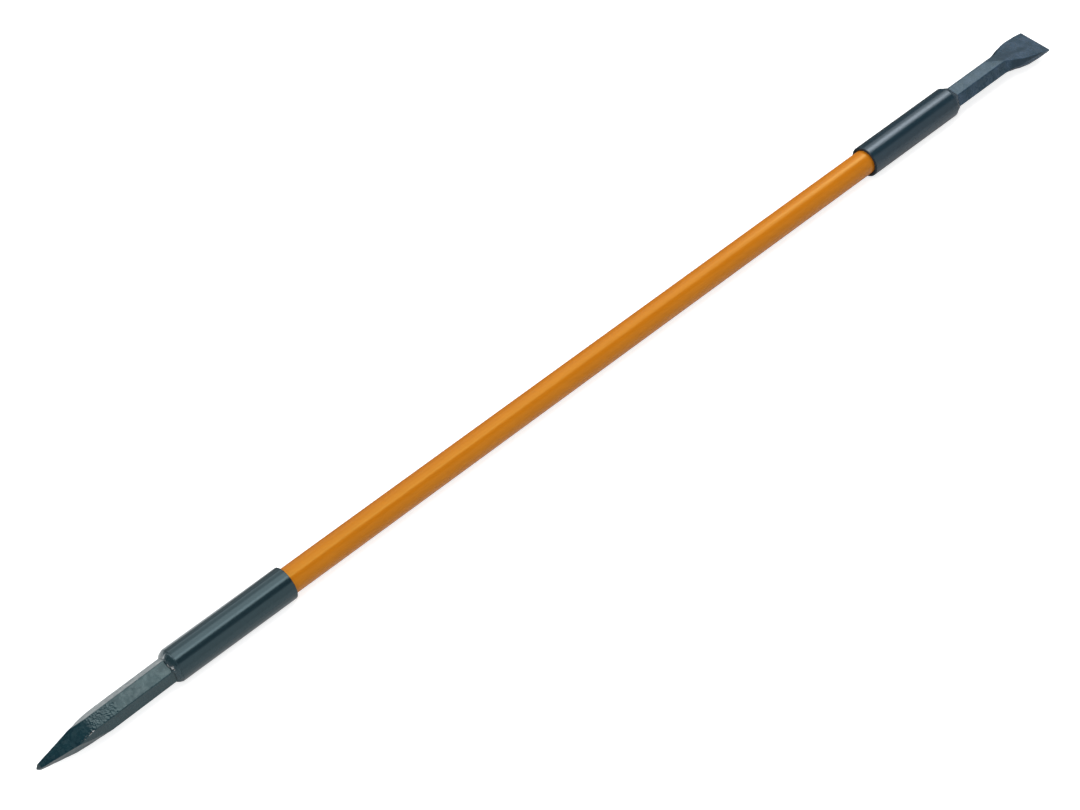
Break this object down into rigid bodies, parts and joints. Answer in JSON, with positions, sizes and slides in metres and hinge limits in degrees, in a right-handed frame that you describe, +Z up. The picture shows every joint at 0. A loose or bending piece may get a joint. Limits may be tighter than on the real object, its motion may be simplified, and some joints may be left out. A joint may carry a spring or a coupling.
{
  "type": "insulated crowbar",
  "caption": "Long insulated crowbar with a hexagonal steel point at one end and a flared steel chisel at the other, in tube sockets on a round orange shaft.",
  "frame": {"origin": "on the surface the bar lies on, under the middle of its overall length", "axes": "+X along the bar from the point to the chisel, +Z up, with the blade lying level"},
  "size_m": [1.5, 0.0446, 0.0381],
  "materials": {
    "point_bar_paint": "satin grey-green paint over a hammered forging",
    "chisel_bar_paint": "satin blue-grey paint over a hammered forging",
    "socket_paint": "semi-gloss dark blue-green paint",
    "weld_paint": "glossy paint over weld beads",
    "orange_sleeve": "satin moulded plastic",
    "warning_layer": "satin moulded plastic",
    "glass_fibre": "drawn glass fibre and resin",
    "adhesive": "set epoxy"
  },
  "bodies": {
    "root": {"point_bar": "point_bar_paint", "point_weld": "weld_paint", "point_socket": "socket_paint", "point_bond": "adhesive", "shaft_core": "glass_fibre", "shaft_wear_layer": "warning_layer", "shaft_sleeve": "orange_sleeve", "chisel_bond": "adhesive", "chisel_socket": "socket_paint", "chisel_weld": "weld_paint", "chisel_bar": "chisel_bar_paint"}
  },
  "joints": []
}
